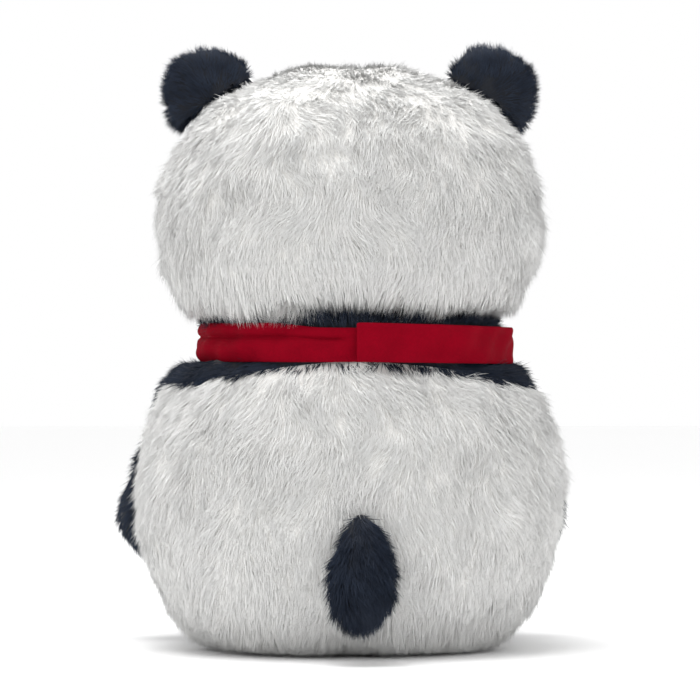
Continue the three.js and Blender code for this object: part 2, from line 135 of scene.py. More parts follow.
# root and tip of a hair, and the shade that some locks drift to: the darker root is painted shade deep in
# the pile, and on black pile the bluer tip and the blue-grey drift shade are painted sheen
pileTones = {
    "white": {"root": (0.90, 0.89, 0.86), "tip": (0.98, 0.977, 0.96), "other": (0.94, 0.945, 0.935)},
    # black pile: the lighter blue tip and the blue-grey other shade are painted sheen
    "black": {"root": (0.002, 0.003, 0.007), "tip": (0.006, 0.013, 0.030), "other": (0.026, 0.038, 0.066)},
}
# how far a hair's own tone and broad patches each move it to the other shade, and how soon root turns to tip
pileShade = {"hair": 0.7, "patch": 0.6, "less": 0.3, "patchScale": 38.0, "patchDetail": 3.0, "tipward": 0.6}


def pileMaterial(name, tones, roughness, shine):
    def wires(w):
        patches = w.noise(pileShade["patchScale"], pileShade["patchDetail"])
        drifted = w.attribute("tone") * pileShade["hair"] + patches * pileShade["patch"] - pileShade["less"]
        # roots darker than tips: painted shade low in the pile, and on black pile painted sheen at the tips
        hair = (w.attribute("along") ** pileShade["tipward"]).mixed(rgba(tones["root"]), rgba(tones["tip"]))
        return {"Base Color": drifted.limited().mixed(hair, rgba(tones["other"]))}
    return newMaterial(name, {"Roughness": roughness, "Specular IOR Level": shine}, wires)


nap = {"fine": 0.6, "fineDetail": 3.0, "broad": 0.4, "broadScale": 60.0, "broadDetail": 2.0, "raised": 0.6}
napSheen = {"Sheen Weight": 0.25, "Sheen Roughness": 0.4}


def napMaterial(name, dark, light, roughness=0.9, grain=900.0, depth=0.0004):
    def wires(w):
        fine = w.noise(grain, nap["fineDetail"])
        broad = w.noise(nap["broadScale"], nap["broadDetail"])
        return {
            "Base Color": (fine * nap["fine"] + broad * nap["broad"]).mixed(rgba(dark), rgba(light)),
            "Normal": w.bump(fine, nap["raised"], depth),
        }
    return newMaterial(name, {"Roughness": roughness, **napSheen}, wires)


whitePile = pileMaterial("white pile", pileTones["white"], 0.8, 0.3)
blackPile = pileMaterial("black pile", pileTones["black"], 0.5, 0.22)
# the white backing is greyer than the white pile: painted shade of the depths between hairs
whiteSkin = napMaterial("white backing", (0.70, 0.69, 0.66), (0.80, 0.79, 0.77))
blackSkin = napMaterial("black backing", (0.002, 0.003, 0.006), (0.007, 0.010, 0.018))
soleCloth = napMaterial(
    "short nap", (0.014, 0.015, 0.022), (0.042, 0.044, 0.056), roughness=0.95, grain=1400.0, depth=0.0006)
fillingFibre = napMaterial(
    "filling fibre", (0.75, 0.75, 0.73), (0.92, 0.92, 0.9), roughness=1.0, grain=500.0, depth=0.002)
tapeCloth = napMaterial(
    "fastener tape", (0.10, 0.002, 0.006), (0.30, 0.006, 0.02), roughness=0.9, grain=1600.0, depth=0.0008)
glossPlastic = newMaterial(
    "gloss plastic", {"Specular IOR Level": 0.16, "Coat Weight": 0.14, "Coat Roughness": 0.03},
    lambda w: {
        "Base Color": w.noise(400.0).mixed(rgba((0.004, 0.003, 0.003)), rgba((0.012, 0.009, 0.009))),
        "Roughness": w.noise(120.0, 4.0) * 0.08 + 0.08,
    })
washerPlastic = newMaterial(
    "moulded washer", {"Roughness": 0.5},
    lambda w: {"Base Color": w.noise(200.0).mixed(rgba((0.72, 0.71, 0.67)), rgba((0.82, 0.81, 0.77)))})
mouthThread = newMaterial(
    "embroidery thread", {"Sheen Weight": 0.3},
    lambda w: {
        "Base Color": w.noise(1500.0).mixed(rgba((0.006, 0.006, 0.008)), rgba((0.03, 0.03, 0.035))),
        "Roughness": w.noise(900.0) * 0.2 + 0.5,
    })

weave = {
    "pitch": 0.0009, "dark": (0.085, 0.0005, 0.004), "light": (0.35, 0.0012, 0.014), "specular": 0.03,
    "thread": 0.25, "fuzz": 0.3, "patch": 0.45, "fuzzScale": 900.0, "patchScale": 45.0, "detail": 3.0,
    "roughness": 0.78, "roughSpread": 0.1, "threadRise": 0.6, "fuzzRise": 0.4,
    "raised": 0.5, "depth": 0.0005,
}


def bandWires(w):  # plain weave that follows the ribbon's own length and width
    spot = w.node("ShaderNodeUVMap", {"uv_map": "cloth"})
    x = w.node("ShaderNodeSeparateXYZ", inputs={"Vector": spot}, output=0)
    y = w.node("ShaderNodeSeparateXYZ", inputs={"Vector": spot}, output=1)
    waves = 2 * math.pi / weave["pitch"]
    threads = (x * waves).sine() * (y * waves).sine() * 0.5 + 0.5
    fuzz = w.noise(weave["fuzzScale"], weave["detail"])
    patches = w.noise(weave["patchScale"], weave["detail"])
    tone = threads * weave["thread"] + fuzz * weave["fuzz"] + patches * weave["patch"]
    raised = threads * weave["threadRise"] + fuzz * weave["fuzzRise"]
    return {
        "Base Color": tone.mixed(rgba(weave["dark"]), rgba(weave["light"])),
        "Roughness": fuzz * weave["roughSpread"] + weave["roughness"],
        "Normal": w.bump(raised, weave["raised"], weave["depth"]),
    }


bandCloth = newMaterial("band cloth", {"Specular IOR Level": weave["specular"]}, bandWires)
print("materials made")


def deselect():
    bpy.ops.object.select_all(action="DESELECT")


def pickOnly(thing):
    deselect()
    thing.select_set(True)
    bpy.context.view_layer.objects.active = thing


def applied(thing, kind, **settings):
    pickOnly(thing)
    modifier = thing.modifiers.new(kind, kind)
    for key, value in settings.items():
        setattr(modifier, key, value)
    bpy.ops.object.modifier_apply(modifier=modifier.name)
    return thing


def linked(name, mesh):
    thing = bpy.data.objects.new(name, mesh)
    bpy.context.scene.collection.objects.link(thing)
    return thing


def spots(mesh):
    out = np.empty(len(mesh.vertices) * 3)
    mesh.vertices.foreach_get("co", out)
    return out.reshape(-1, 3)


def facings(mesh):
    out = np.empty(len(mesh.vertices) * 3)
    mesh.vertices.foreach_get("normal", out)
    return out.reshape(-1, 3)


def moveSpots(mesh, places):
    mesh.vertices.foreach_set("co", places.ravel())
    mesh.update()


driftWaves = {"count": 10, "slowest": 0.6, "fastest": 1.5, "level": 3.2}


def drift(points, size, seed):  # smooth random numbers about 0, one for each point
    dice = np.random.default_rng(seed)
    count = driftWaves["count"]
    waves = dice.normal(size=(count, 3))
    speed = dice.uniform(driftWaves["slowest"], driftWaves["fastest"], count)
    waves *= (speed * 2 * math.pi / size / np.linalg.norm(waves, axis=1))[:, None]
    return np.sin(points @ waves.T + dice.uniform(0, 2 * math.pi, count)).sum(1) / driftWaves["level"]


def unit(vectors):
    return vectors / np.maximum(np.linalg.norm(vectors, axis=-1, keepdims=True), 1e-9)


def ramp(values, low, high):  # 0 below low, 1 above high, smooth between
    t = np.clip((values - low) / (high - low), 0, 1)
    return t * t * (3 - 2 * t)


def finished(piece, body, slotName, material, *nodes):
    piece.data.materials.clear()
    piece.data.materials.append(material)
    if nodes:
        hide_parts(*nodes)
    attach(piece, body)
    return piece


# a stuffed part's covers and filling joined, closed and smoothed into one soft form
softForm = {
    "voxel": 0.0035, "rounds": 8, "smoothing": 0.5, "lumps": 0.0010, "lumpSize": 0.055, "inset": 0.003,
    "merge": 0.00002,
}


def softSkin(
        name, nodes, voxel=softForm["voxel"], rounds=softForm["rounds"], inset=softForm["inset"], seed=1,
        dent=None):
    copies = []
    for node in nodes:
        copies.append(linked(name, frame["nodes"][node].data.copy()))
    deselect()
    for copy in copies:
        copy.data.materials.clear()
        copy.select_set(True)
    skin = copies[0]
    bpy.context.view_layer.objects.active = skin
    if len(copies) > 1:
        bpy.ops.object.join()
    pickOnly(skin)
    bpy.ops.object.mode_set(mode="EDIT")
    bpy.ops.mesh.select_all(action="SELECT")
    bpy.ops.mesh.remove_doubles(threshold=softForm["merge"])
    bpy.ops.object.mode_set(mode="OBJECT")
    applied(skin, "REMESH", mode="VOXEL", voxel_size=voxel)
    pickOnly(skin)
    bpy.ops.mesh.separate(type="LOOSE")
    shells = sorted(bpy.context.selected_objects, key=lambda shell: -len(shell.data.vertices))
    for shell in shells[1:]:
        bpy.data.objects.remove(shell)
    skin = shells[0]
    skin.name = name
    skin.data.name = name
    applied(skin, "SMOOTH", factor=softForm["smoothing"], iterations=rounds)
    places = spots(skin.data)
    swell = drift(places, softForm["lumpSize"], seed) * softForm["lumps"] - inset
    places = places + facings(skin.data) * swell[:, None]
    if dent:
        places = dent(places)
    places[:, 2] = np.maximum(places[:, 2], 0.0)
    moveSpots(skin.data, places)
    pickOnly(skin)
    bpy.ops.object.shade_smooth()
    return skin


def halfOf(skin, name, point, normal):  # what lies on the side that the normal points to, closed again
    piece = linked(name, skin.data.copy())
    piece.data.name = name
    pickOnly(piece)
    bpy.ops.object.mode_set(mode="EDIT")
    bpy.ops.mesh.select_all(action="SELECT")
    bpy.ops.mesh.bisect(plane_co=point, plane_no=normal, use_fill=True, clear_inner=True)
    bpy.ops.object.mode_set(mode="OBJECT")
    return piece


seamGap = 0.0002
hairFaces = np.array([[0, 2, 1], [0, 1, 3], [1, 2, 3], [2, 0, 3]])  # three corners at the foot and a tip

# what all pile has in common
hair = {
    "shortest": 0.7, "longest": 1.15, "thinnest": 0.75, "thickest": 1.25,
    "sunk": 0.0012, "clearOfFloor": 0.0006,
    "patchLength": 0.12, "patchLengthSize": 0.05, "patchLift": 0.12, "patchLiftSize": 0.018,
    "flattest": 0.06, "steepest": 1.4, "hangFrom": 0.05, "hangFull": 0.6, "tipRound": 0.2,
    "trimmedOff": 0.08,
    "largeLock": 2.6, "largeGather": 0.3, "leastGather": 0.1, "fewestLocks": 4,
    "tone": 0.5, "toneSpread": 0.14, "tonePatch": 0.25, "tonePatchSize": 0.012,
    "draftCount": 0.4, "draftWidth": 1.5,
}


def growPile(panels, skin, body, slotName, material, look, comb, trim=None, seed=1):
    # panels: the name of each piece of pile, and where on the skin it grows
    dice = np.random.default_rng(seed)
    mesh = skin.data
    mesh.calc_loop_triangles()
    corners = np.empty(len(mesh.loop_triangles) * 3, int)
    mesh.loop_triangles.foreach_get("vertices", corners)
    corners = corners.reshape(-1, 3)
    places, facing = spots(mesh), facings(mesh)
    a, b, c = (places[corners[:, i]] for i in range(3))
    area = np.linalg.norm(np.cross(b - a, c - a), axis=1) / 2
    count = int(area.sum() * look["density"] * (1.0))
    pick = dice.choice(len(corners), count, p=area / area.sum())
    u, v = dice.random(count), dice.random(count)
    over = u + v > 1
    u[over], v[over] = 1 - u[over], 1 - v[over]
    shares = np.stack([1 - u - v, u, v], 1)[:, :, None]
    root = (places[corners[pick]] * shares).sum(1)
    normal = unit((facing[corners[pick]] * shares).sum(1))
    length = look["length"] * dice.uniform(hair["shortest"], hair["longest"], count)
    length = length * (1 + hair["patchLength"] * drift(root, hair["patchLengthSize"], seed + 5))
    owner = np.full(count, -1)
    for index, where in enumerate(panels.values()):
        owner[(owner < 0) & (where(root, normal) if where else True)] = index
    keep = owner >= 0
    if trim:
        scale = trim(root, normal)
        keep &= scale > hair["trimmedOff"]
        length = length * scale
    root, normal, length, owner = root[keep], normal[keep], length[keep], owner[keep]
    count = len(root)

    lay = comb(root, normal)
    lay = unit(lay - normal * (lay * normal).sum(1, keepdims=True))
    across = np.cross(normal, lay)
    swirl = look["swirl"] * drift(root, look["swirlSize"], seed + 7) + dice.normal(0, look["stray"], count)
    lay = lay * np.cos(swirl)[:, None] + across * np.sin(swirl)[:, None]
    lift = look["lift"] + dice.normal(0, look["liftStray"], count)
    lift = lift + hair["patchLift"] * drift(root, hair["patchLiftSize"], seed + 8)
    lift = np.clip(lift, hair["flattest"], hair["steepest"])
    aim = normal * np.sin(lift)[:, None] + lay * np.cos(lift)[:, None]
    under = ramp(-normal[:, 2], hair["hangFrom"], hair["hangFull"])
    weight = look["sag"] + look["hang"] * under  # hangs free under a slope
    aim = unit(aim - np.outer(weight, [0, 0, 1]))
    foot = root - normal * hair["sunk"]
    tip = foot + aim * length[:, None]

    # neighbouring hairs lean together into locks, and small locks into larger ones
    large = (look["lock"] * hair["largeLock"], look["gather"] * hair["largeGather"])
    small = (look["lock"], look["gather"])
    for size, share in (small, large):
        locks = max(hair["fewestLocks"], int(area.sum() * keep.mean() / size ** 2))
        leaders = dice.choice(count, min(count, locks), replace=False)
        tree = KDTree(len(leaders))
        for i, leader in enumerate(leaders):
            tree.insert(root[leader], i)
        tree.balance()
        nearest = leaders[[tree.find(spot)[1] for spot in root]]
        tip = tip + (tip[nearest] - tip) * (share * dice.uniform(hair["leastGather"], 1.0, count))[:, None]
    tip[:, 2] = np.maximum(tip[:, 2], hair["clearOfFloor"])

    along = unit(tip - foot)
    side = unit(np.cross(along, dice.normal(size=(count, 3))))
    other = np.cross(along, side)
    halfWidth = look["width"] * 1.0 / 2
    width = (halfWidth * dice.uniform(hair["thinnest"], hair["thickest"], count))[:, None]
    shape = np.empty((count, 4, 3))
    bend = np.empty((count, 4, 3))  # shading follows the form below as well as the hair itself
    for i in range(3):
        turn = 2 * math.pi * i / 3
        out = side * math.cos(turn) + other * math.sin(turn)
        shape[:, i] = foot + out * width
        bend[:, i] = unit(normal + look["round"] * out)
    shape[:, 3] = tip
    bend[:, 3] = unit(normal + hair["tipRound"] * along)
    shape[:, :, 2] = np.maximum(shape[:, :, 2], 0.0)
    shade = hair["tone"] + hair["toneSpread"] * dice.normal(size=count)
    shade = np.clip(shade + hair["tonePatch"] * drift(root, hair["tonePatchSize"], seed + 9), 0, 1)
    for index, name in enumerate(panels):
        mine = owner == index
        hairs = int(mine.sum())
        loops = (hairFaces[None] + 4 * np.arange(hairs)[:, None, None]).reshape(-1)
        pile = bpy.data.meshes.new(name)
        pile.vertices.add(hairs * 4)
        pile.vertices.foreach_set("co", shape[mine].ravel())
        pile.loops.add(len(loops))
        pile.loops.foreach_set("vertex_index", loops)
        pile.polygons.add(len(loops) // 3)
        pile.polygons.foreach_set("loop_start", np.arange(0, len(loops), 3))
        pile.polygons.foreach_set("use_smooth", np.ones(len(loops) // 3, bool))
        pile.update(calc_edges=True)
        pile.normals_split_custom_set_from_vertices(bend[mine].reshape(-1, 3))
        for kept, values in (("along", np.tile([0, 0, 0, 1.0], hairs)), ("tone", np.repeat(shade[mine], 4))):
            pile.attributes.new(kept, "FLOAT", "POINT").data.foreach_set("value", values)
        print(f"{name}: {hairs * 4} triangles")
        finished(linked(name, pile), body, slotName, material)


combing = {"outFrom": 0.1, "outward": 0.35, "offLimb": 0.3, "limbEnd": 0.85}


def downhill(back=0.0, out=0.0):  # hair combed down the slope, to the back and away from the middle
    def comb(root, normal):
        lay = np.tile([0.0, back, -1.0], (len(root), 1))
        lay[:, 0] += out * root[:, 0] / combing["outFrom"]
        return lay + combing["outward"] * normal * [1, 1, 0]
    return comb


def alongLimb(start, end):
    axis = np.array(end) - np.array(start)
    return lambda root, normal: np.tile(unit(axis), (len(root), 1)) + combing["offLimb"] * normal


def farEnd(node, start):  # middle of the end of a limb that is farthest from its joint
    places = spots(frame["nodes"][node].data)
    far = np.linalg.norm(places - np.array(start), axis=1)
    return places[far > np.quantile(far, combing["limbEnd"])].mean(0)


clearance = {"near": 0.0015, "far": 0.008, "least": 0.25}  # for long pile, and what is left of it when near


def awayFrom(neighbours, near=clearance["near"], far=clearance["far"]):
    # hair gets shorter close to a neighbour and stops beside it
    points = np.concatenate([spots(skin.data)[::2] for skin in neighbours])
    tree = KDTree(len(points))
    for i, point in enumerate(points):
        tree.insert(point, i)
    tree.balance()

    def trim(root, normal):
        gap = np.array([tree.find(spot)[2] for spot in root])
        return clearance["least"] * (gap > near) + (1 - clearance["least"]) * ramp(gap, near, far)
    return trim


longPile = {
    "density": 1085000, "length": 0.0145, "width": 0.00064, "lift": 0.36, "liftStray": 0.2, "swirl": 0.5,
    "swirlSize": 0.045, "stray": 0.28, "sag": 0.1, "hang": 1.1, "lock": 0.0065, "gather": 0.5, "round": 0.3,
}
darkPile = dict(longPile, density=1300000, length=0.0125, width=0.0006, lift=0.42, round=0.7)
limbPile = dict(darkPile, density=640000, length=0.011, width=0.00072)

# limbs first: the pile of the body makes room for them
limbForms = {
    "arm": {"voxel": 0.0025, "inset": 0.002, "seed": 31},
    "leg": {"voxel": 0.0025, "seed": 33},
    "tail": {"voxel": 0.002, "inset": -0.0005, "seed": 35},
}
limbs = {}
for label, side in sides:
    for part in ("arm", "leg"):
        limbs[f"{part}_{label}"] = softSkin(
            f"{part}_cover_{label}", [f"{part}_{label}", f"{part}_stuffing_{label}"], **limbForms[part])
tailSkin = softSkin("tail_cover", ["tail", "tail_stuffing"], **limbForms["tail"])

# body
# height of the colour change at the sides, its fall to the front and its rise to the middle of the back
yoke = {"level": 0.1595, "slope": 0.155, "rise": 0.020, "back": 0.098, "power": 3.0, "drift": 0.0012}
trunk = {
    "sideSeam": -0.014, "inset": 0.001,
    "lobe": 0.0055, "lobeWidth": 0.024, "lobeFoot": 0.004, "lobeTop": 0.035, "lobeBack": 0.05,
    "groove": 0.0008, "grooveWidth": 0.006, "grooveFrom": 0.02, "grooveFull": 0.06, "grooveTop": 0.17,
}


def bodyDents(places):  # a shallow groove along the back's seam, and the base drawn up between two lobes
    x, y, z = places.T
    nearMiddle = np.exp(-(x / trunk["lobeWidth"]) ** 2)
    lift = trunk["lobe"] * nearMiddle * ramp(y, 0.0, trunk["lobeBack"])
    lift = lift * (1 - ramp(z, trunk["lobeFoot"], trunk["lobeTop"]))
    draw = trunk["groove"] * np.exp(-(x / trunk["grooveWidth"]) ** 2)
    draw = draw * ramp(y, trunk["grooveFrom"], trunk["grooveFull"]) * (z < trunk["grooveTop"])
    return places + np.stack([0 * x, -draw, lift], 1)


bodyCovers = ["yoke_back", "yoke_front", "body_back_left", "body_back_right", "belly_panel", "base_panel"]
bodySkin = softSkin(
    "body_cover", [*bodyCovers, "body_stuffing"], inset=trunk["inset"], seed=2, dent=bodyDents)


def yokeEdge(places):  # height of the colour change at each place
    y = places[:, 1]
    rise = yoke["rise"] * (np.maximum(y, 0) / yoke["back"]) ** yoke["power"]
    return yoke["level"] + np.where(y < 0, yoke["slope"] * y, rise)


def sheared(skin, share):  # moved up or down so that the colour change lies level, or back again
    places = spots(skin.data)
    places[:, 2] += share * yokeEdge(places)
    moveSpots(skin.data, places)


sheared(bodySkin, -1)
yokeSkin = halfOf(bodySkin, "yoke_cover", (0, 0, seamGap), (0, 0, 1))
trunkSkin = halfOf(bodySkin, "trunk_cover", (0, 0, -seamGap), (0, 0, -1))
for skin in (bodySkin, yokeSkin, trunkSkin):
    sheared(skin, 1)
for label, front in (("back", 1), ("front", -1)):
    seam = (0, trunk["sideSeam"] + front * seamGap, 0)
    panel = halfOf(yokeSkin, f"yoke_{label}_cover", seam, (0, front, 0))
    finished(panel, "body", "black_plush", blackSkin, f"yoke_{label}")
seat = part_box("base_panel")[1][2]
baseSkin = halfOf(trunkSkin, "base_cover", (0, 0, seat - seamGap), (0, 0, -1))
finished(baseSkin, "body", "white_plush", whiteSkin, "base_panel")
upperSkin = halfOf(trunkSkin, "upper_trunk", (0, 0, seat + seamGap), (0, 0, 1))
belly = halfOf(upperSkin, "belly_cover", (0, trunk["sideSeam"] - seamGap, 0), (0, -1, 0))
finished(belly, "body", "white_plush", whiteSkin, "belly_panel")
for label, side in sides:
    half = halfOf(upperSkin, "half", (side * seamGap, 0, 0), (side, 0, 0))
    panel = halfOf(half, f"body_back_{label}_cover", (0, trunk["sideSeam"] + seamGap, 0), (0, 1, 0))
    bpy.data.objects.remove(half)
    finished(panel, "body", "white_plush", whiteSkin, f"body_back_{label}")
for spare in (yokeSkin, trunkSkin, upperSkin):
    bpy.data.objects.remove(spare)

bandLow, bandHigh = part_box("neckband_over")[0][2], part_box("neckband_over")[1][2]
clearOfLimbs = awayFrom([*limbs.values(), tailSkin])
# where the body's pile stops: beside the neck, behind the band and under the seat
bodyPile = {
    "neckRadius": 0.0885, "whiteBehindBand": 0.004, "blackBehindBand": 0.002, "neckBehindBand": 0.006,
    "edgeDrift": 0.012, "pressed": 0.4, "pressedFrom": 0.001, "pressedTo": 0.012,
    "seatHeight": 0.004, "seatFacing": -0.9, "seatRadius": 0.06, "baseHeight": 0.006,
}


def aboveYoke(root):
    return root[:, 2] > yokeEdge(root) + yoke["drift"] * drift(root, bodyPile["edgeDrift"], 91)


def fromAxis(root):
    return np.hypot(root[:, 0], root[:, 1])


def behindBand(root, overlap):
    return (fromAxis(root) < bodyPile["neckRadius"]) & (root[:, 2] > bandLow + overlap)


def bodyTrim(root, normal):
    scale = clearOfLimbs(root, normal)
    height = root[:, 2]
    pressed = 1 - ramp(height, bodyPile["pressedFrom"], bodyPile["pressedTo"])
    scale *= 1 - bodyPile["pressed"] * pressed  # pressed flat where it sits
    satOn = (height < bodyPile["seatHeight"]) & (normal[:, 2] < bodyPile["seatFacing"])
    scale[satOn & (fromAxis(root) < bodyPile["seatRadius"])] = 0
    return scale * ~behindBand(root, bodyPile["whiteBehindBand"])


def onYoke(root, normal):
    return aboveYoke(root) & ~behindBand(root, bodyPile["blackBehindBand"])


def onNeck(root, normal):
    return (fromAxis(root) < bodyPile["neckRadius"]) & (root[:, 2] > bandHigh - bodyPile["neckBehindBand"])


whitePanels = {"pile_base": lambda root, normal: (root[:, 2] < bodyPile["baseHeight"]) & ~aboveYoke(root)}
for label, side in sides:
    for part, front in (("back", 1), ("belly", -1)):
        whitePanels[f"pile_{part}_{label}"] = lambda root, normal, side=side, front=front: (
            (root[:, 0] * side > 0) & ((root[:, 1] - trunk["sideSeam"]) * front > 0) & ~aboveYoke(root))
yokePile = dict(darkPile, sag=0.02)
neckPile = dict(darkPile, density=650000, width=0.0007, lift=0.8, sag=0.0, hang=0.0)
growPile(
    whitePanels, bodySkin, "body", "white_plush", whitePile, longPile, downhill(out=0.15), bodyTrim, seed=21)
growPile(
    {"pile_yoke": onYoke}, bodySkin, "body", "black_plush", blackPile, yokePile,
    downhill(out=0.4), clearOfLimbs, seed=26)
growPile(
    {"pile_neck": onNeck}, bodySkin, "body", "black_plush", blackPile, neckPile,
    lambda root, normal: root * [1, 1, 0] + [0, 0, 0.05], seed=27)  # combed out and a little up
print("body made")

# head
crown = {
    "middle": (0.0, -0.035), "rise": 0.0045, "riseFrom": 0.29, "riseTop": 0.34, "combTop": 0.345,
    "comb": 1.2, "shortFrom": 0.305, "shorter": 0.35,
}
rim = {  # the head's lower edge: longer hair, longest over the band's folded half, and bare on the neck
    "low": 0.200, "high": 0.222, "longer": 0.5, "overBand": 0.45, "bandFrom": 0.01, "bandFull": 0.04,
    "bareRadius": 0.074, "bareTop": 0.215,
}
face = {
    "back": 0.12, "combFrom": 0.03, "combFull": 0.07, "comb": 0.8, "front": -0.03, "length": 0.8,
    "ovalEdge": 0.82, "ovalClear": 1.5, "atEdge": 0.45,
}
headCovers = ["face_left", "face_right", "head_back_left", "head_back_right"]


def raisedCrown(places):
    rise = crown["rise"] * ramp(places[:, 2], crown["riseFrom"], crown["riseTop"])
    return places + np.outer(rise, [0, 0, 1])


headSkin = softSkin("head_cover", [*headCovers, "head_stuffing"], seed=1, dent=raisedCrown)
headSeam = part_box("head_back_left")[0][1]
earSkins = {}
for label, side in sides:
    earSkins[label] = softSkin(
        f"ear_cover_{label}", [f"ear_{label}", f"ear_stuffing_{label}"],
        voxel=0.0018, rounds=5, inset=0.0015, seed=37)
    half = halfOf(headSkin, "half", (side * seamGap, 0, 0), (side, 0, 0))
    for part, front in (("face", -1), ("head_back", 1)):
        panel = halfOf(half, f"{part}_{label}_cover", (0, headSeam + front * seamGap, 0), (0, front, 0))
        finished(panel, "head", "white_plush", whiteSkin, f"{part}_{label}")
    bpy.data.objects.remove(half)

patchLow, patchHigh = (np.array(corner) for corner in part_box("eye_patch_left"))
muzzleLow, muzzleHigh = (np.array(corner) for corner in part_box("muzzle"))


def inOval(root, low, high, side=1):  # how far out of an oval seen from the front, 1 on its edge
    middle, reach = (low + high) / 2, (high - low) / 2
    return np.hypot((root[:, 0] * side - middle[0]) / reach[0], (root[:, 2] - middle[2]) / reach[2])


def headComb(root, normal):  # down from the crown all round, and away from the face pieces
    lay = np.tile([0.0, face["back"], -1.0], (len(root), 1)) + combing["outward"] * normal * [1, 1, 0]
    fromCrown = (root - [*crown["middle"], 0]) * [1, 1, 0]
    lay += unit(fromCrown) * (crown["comb"] * ramp(root[:, 2], crown["riseFrom"], crown["combTop"]))[:, None]
    front = face["comb"] * ramp(-root[:, 1], face["combFrom"], face["combFull"])[:, None]
    fromNose = root - (muzzleLow + muzzleHigh) / 2
    return lay * (1 - front) + front * unit(fromNose)


clearOfEars = awayFrom(earSkins.values())


def headTrim(root, normal):
    scale = clearOfEars(root, normal)
    height = root[:, 2]
    overBand = rim["overBand"] * ramp(root[:, 0], rim["bandFrom"], rim["bandFull"]) * (root[:, 1] > 0)
    scale *= 1 + (rim["longer"] + overBand) * (1 - ramp(height, rim["low"], rim["high"]))
    scale *= 1 - crown["shorter"] * ramp(height, crown["shortFrom"], crown["combTop"])
    scale[(fromAxis(root) < rim["bareRadius"]) & (height < rim["bareTop"])] = 0
    front = root[:, 1] < face["front"]
    ovals = ((patchLow, patchHigh, 1), (patchLow, patchHigh, -1), (muzzleLow, muzzleHigh, 1))
    for low, high, side in ovals:
        oval = inOval(root, low, high, side)
        grown = ramp(oval, face["ovalEdge"], face["ovalClear"])
        share = face["atEdge"] * (oval > face["ovalEdge"]) + (1 - face["atEdge"]) * grown
        scale = np.where(front, scale * share, scale)
    return scale * np.where(front, face["length"], 1.0)


headPanels = {}
for label, side in sides:
    for part, front in (("face", -1), ("head_back", 1)):
        headPanels[f"pile_{part}_{label}"] = lambda root, normal, side=side, front=front: (
            (root[:, 0] * side > 0) & ((root[:, 1] - headSeam) * front > 0))
growPile(headPanels, headSkin, "head", "white_plush", whitePile, longPile, headComb, headTrim, 12)
bpy.data.objects.remove(headSkin)
bpy.data.objects.remove(bodySkin)
print("head made")

# ears, arms, legs and tail
earLook = dict(
    darkPile, density=1900000, length=0.0085, width=0.00055, lift=0.36, liftStray=0.14, lock=0.004)
tailLook = dict(darkPile, density=2100000, length=0.0145, lift=0.42, lock=0.0045)
earComb = {"flat": 0.3, "out": 0.012, "up": 0.012}
soleEdge = {"near": 0.0008, "far": 0.003}


def middleOf(node):
    low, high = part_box(node)
    return (np.array(low) + np.array(high)) / 2


for label, side in sides:
    skin = earSkins[label]
    finished(skin, "ear_" + label, "black_plush", blackSkin, f"ear_{label}")
    heart = middleOf(f"ear_{label}")
    outward = [side * earComb["out"], 0, earComb["up"]]
    growPile(
        {f"pile_ear_{label}": None}, skin, "ear_" + label, "black_plush", blackPile, earLook,
        lambda root, normal: (root - heart) * [1, earComb["flat"], 1] + outward, seed=38)
    for part, start in (("arm", f"arm_{label}_swing"), ("leg", f"leg_{label}_lift")):
        body = f"{part}_{label}"
        skin = limbs[body]
        finished(skin, body, "black_plush", blackSkin, body)
        places = pivots[start]
        trim = None
        if part == "leg":
            trim = awayFrom([frame["nodes"][f"foot_sole_{label}"]], **soleEdge)
        growPile(
            {f"pile_{part}_{label}": None}, skin, body, "black_plush", blackPile, limbPile,
            alongLimb(places, farEnd(body, places)), trim=trim, seed=40)
finished(tailSkin, "tail", "black_plush", blackSkin, "tail")
growPile(
    {"pile_tail": None}, tailSkin, "tail", "black_plush", blackPile, tailLook, downhill(back=0.15), seed=45)
print("limbs made")

# face pieces in short pile
shortLook = dict(darkPile, density=3000000, length=0.0045, width=0.0005, lift=0.5, lock=0.003, gather=0.3)
muzzleLook = dict(shortLook, density=1700000, length=0.0042)
soleLook = dict(shortLook, density=2600000, length=0.0017, width=0.00045, lift=0.8)
eyePatch = {"flat": 0.2, "down": 0.003, "frontFacing": 0.1, "eyeNear": 0.0012, "eyeFar": 0.006}
muzzle = {"down": 0.004, "noseNear": 0.0009, "noseFar": 0.007}
soleFacing = 0.3
for label, side in sides:
    name = f"eye_patch_{label}"
    skin = softSkin(f"eye_patch_cover_{label}", [name], voxel=0.0009, rounds=2, inset=0.0003, seed=50)
    finished(skin, "head", "black_plush", blackSkin, name)
    heart = middleOf(name)
    growPile(
        {f"pile_eye_patch_{label}": lambda root, normal: normal[:, 1] < eyePatch["frontFacing"]},
        skin, "head", "black_plush", blackPile, shortLook,
        lambda root, normal: (root - heart) * [1, eyePatch["flat"], 1] + [0, 0, -eyePatch["down"]],
        awayFrom([frame["nodes"][f"eye_{label}"]], eyePatch["eyeNear"], eyePatch["eyeFar"]), seed=51)
muzzleSkin = softSkin(
    "muzzle_cover", ["muzzle", "muzzle_stuffing"], voxel=0.0014, rounds=4, inset=0.001, seed=52)
finished(muzzleSkin, "head", "white_plush", whiteSkin, "muzzle")
muzzleHeart = middleOf("muzzle")
mouth = [frame["nodes"]["nose"], frame["nodes"]["mouth_stitching"]]
growPile(
    {"pile_muzzle": None}, muzzleSkin, "head", "white_plush", whitePile, muzzleLook,
    lambda root, normal: root - muzzleHeart + [0, 0, -muzzle["down"]],
    awayFrom(mouth, muzzle["noseNear"], muzzle["noseFar"]), seed=53)
for label, side in sides:
    name = f"foot_sole_{label}"
    skin = softSkin(f"foot_sole_pad_{label}", [name], voxel=0.0010, rounds=3, inset=0.0, seed=54)
    finished(skin, "leg_" + label, "sole_suede", soleCloth, name)
    growPile(
        {f"nap_{name}": lambda root, normal: normal[:, 1] < soleFacing},
        skin, "leg_" + label, "sole_suede", soleCloth, soleLook, downhill(), seed=55)
print("face and soles made")


